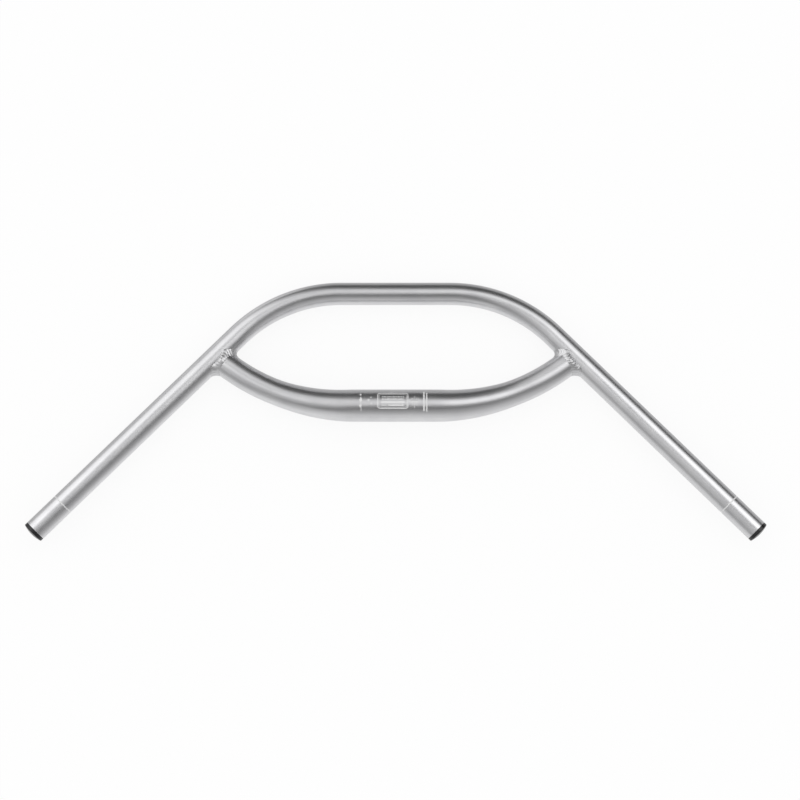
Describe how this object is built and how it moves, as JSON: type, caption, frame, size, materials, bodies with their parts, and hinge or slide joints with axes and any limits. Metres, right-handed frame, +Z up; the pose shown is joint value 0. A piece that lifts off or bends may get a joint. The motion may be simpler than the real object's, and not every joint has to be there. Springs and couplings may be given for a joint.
{
  "type": "loop handlebar",
  "caption": "Flat swept-back bicycle handlebar with a front loop, a bowed cross tube welded between its arms as the stem clamp, and plugged grip ends.",
  "frame": {"origin": "middle of the stem clamp zone, on the cross tube's axis", "axes": "+X across the bar along the clamp zone, +Y forward from the clamp to the loop, +Z up, square to the plane that all the tubes lie in"},
  "size_m": [0.7224, 0.2584, 0.032],
  "materials": {
    "satin_alloy": "satin, fine bead blasted",
    "weld_alloy": "as welded, bright and rippled",
    "black_plastic": "moulded, slight sheen"
  },
  "bodies": {
    "root": {"main_tube": "satin_alloy", "cross_tube": "satin_alloy", "weld_left": "weld_alloy", "weld_right": "weld_alloy", "end_plug_left": "black_plastic", "end_plug_right": "black_plastic"}
  },
  "joints": []
}
